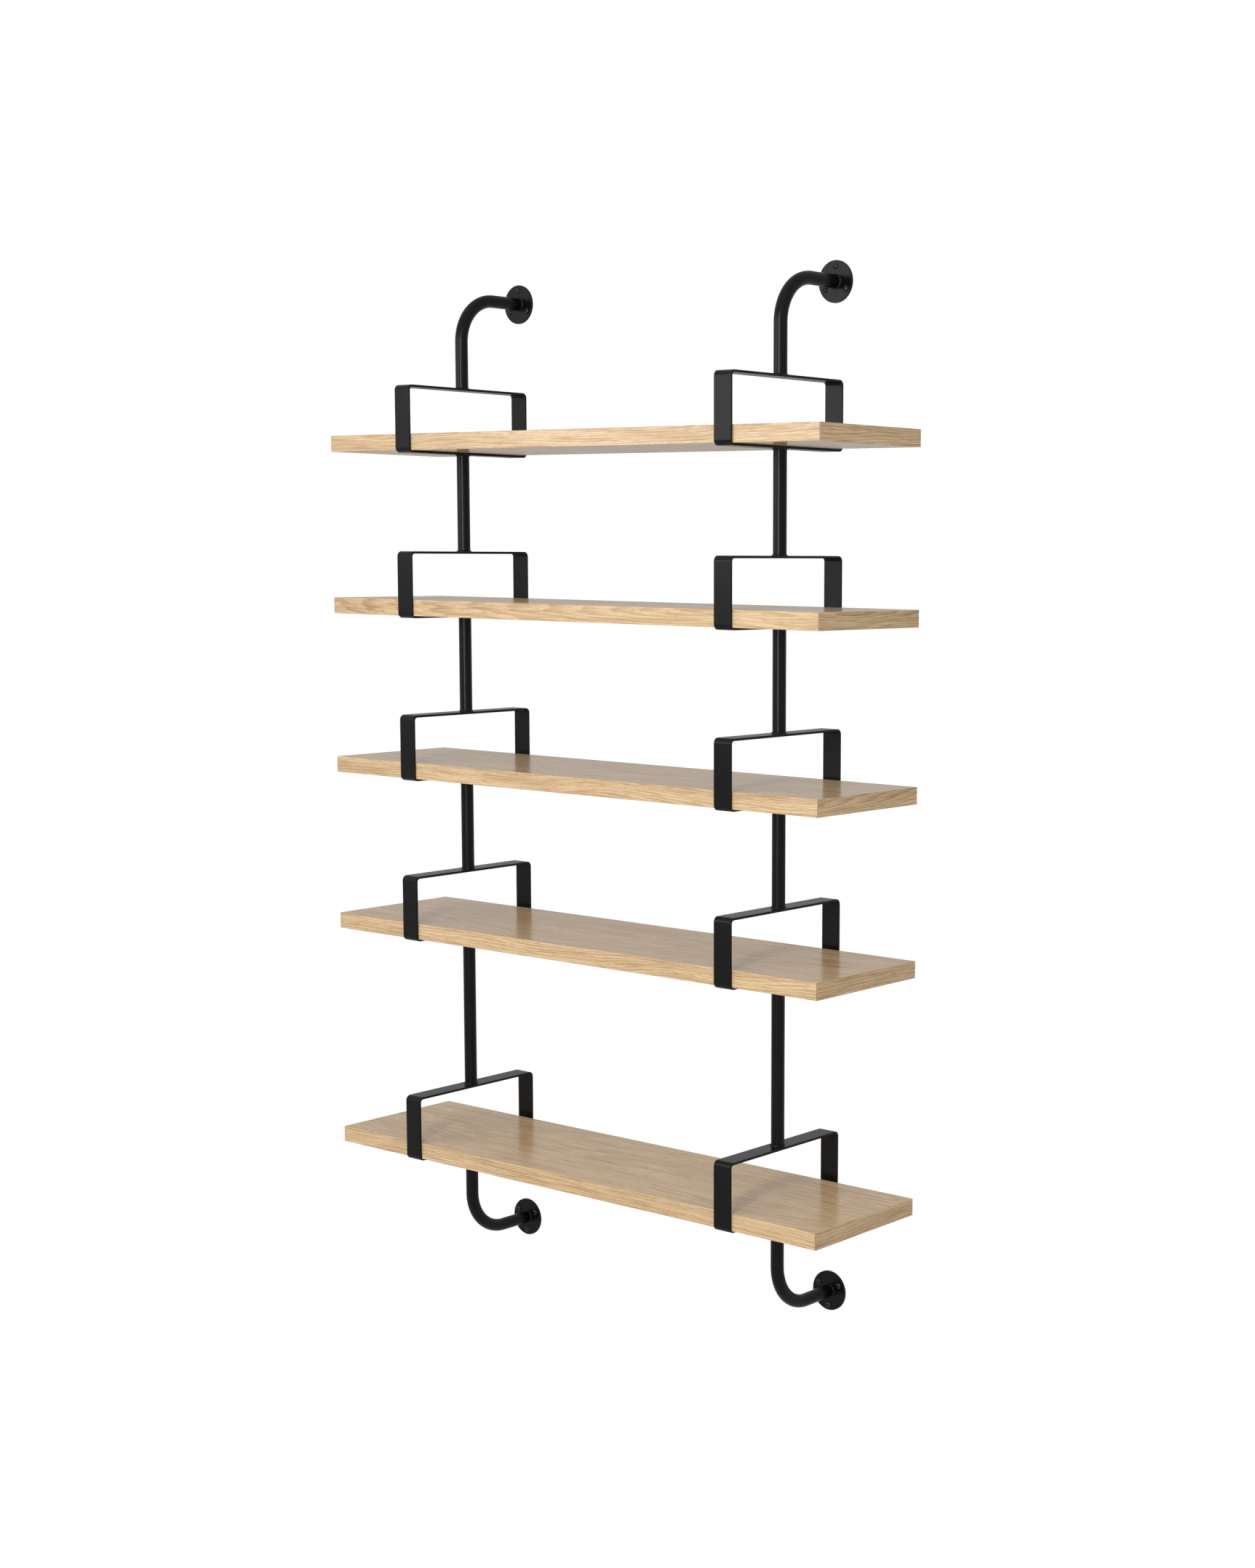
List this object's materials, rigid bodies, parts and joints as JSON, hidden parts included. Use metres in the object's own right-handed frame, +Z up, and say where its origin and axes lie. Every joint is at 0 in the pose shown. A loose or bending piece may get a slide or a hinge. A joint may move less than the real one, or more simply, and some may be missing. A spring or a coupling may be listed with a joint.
{
  "type": "wall shelf with brackets",
  "caption": "Tall wall shelf: oak boards carried inside rectangular steel loops on tubular uprights that bend back to round wall flanges.",
  "frame": {"origin": "on the wall plane, midway between the two uprights, at the height of the centres of the two lower wall flanges", "axes": "+X to the right for someone facing the wall, +Y into the wall, +Z up"},
  "size_m": [1.1, 0.323, 1.75],
  "materials": {
    "oak": "oak veneer under satin clear lacquer, grain along the board",
    "black_steel": "fine satin black powder coat",
    "black_screw": "black oxide, semi-gloss",
    "zinc_screw": "zinc plated"
  },
  "bodies": {
    "root": {"board_1": "oak", "board_2": "oak", "board_3": "oak", "board_4": "oak", "board_5": "oak", "left_loop_1": "black_steel", "left_loop_2": "black_steel", "left_loop_3": "black_steel", "left_loop_4": "black_steel", "left_loop_5": "black_steel", "right_loop_1": "black_steel", "right_loop_2": "black_steel", "right_loop_3": "black_steel", "right_loop_4": "black_steel", "right_loop_5": "black_steel", "left_tube_1": "black_steel", "left_tube_2": "black_steel", "left_tube_3": "black_steel", "left_tube_4": "black_steel", "right_tube_1": "black_steel", "right_tube_2": "black_steel", "right_tube_3": "black_steel", "right_tube_4": "black_steel", "left_top_bend": "black_steel", "left_bottom_bend": "black_steel", "right_top_bend": "black_steel", "right_bottom_bend": "black_steel", "left_upper_flange": "black_steel", "left_lower_flange": "black_steel", "right_upper_flange": "black_steel", "right_lower_flange": "black_steel", "left_upper_wall_screws": "black_screw", "left_lower_wall_screws": "black_screw", "right_upper_wall_screws": "black_screw", "right_lower_wall_screws": "black_screw", "left_upright_welds": "black_steel", "right_upright_welds": "black_steel", "flange_welds": "black_steel", "board_screws_1": "zinc_screw", "board_screws_2": "zinc_screw", "board_screws_3": "zinc_screw", "board_screws_4": "zinc_screw", "board_screws_5": "zinc_screw"}
  },
  "joints": []
}
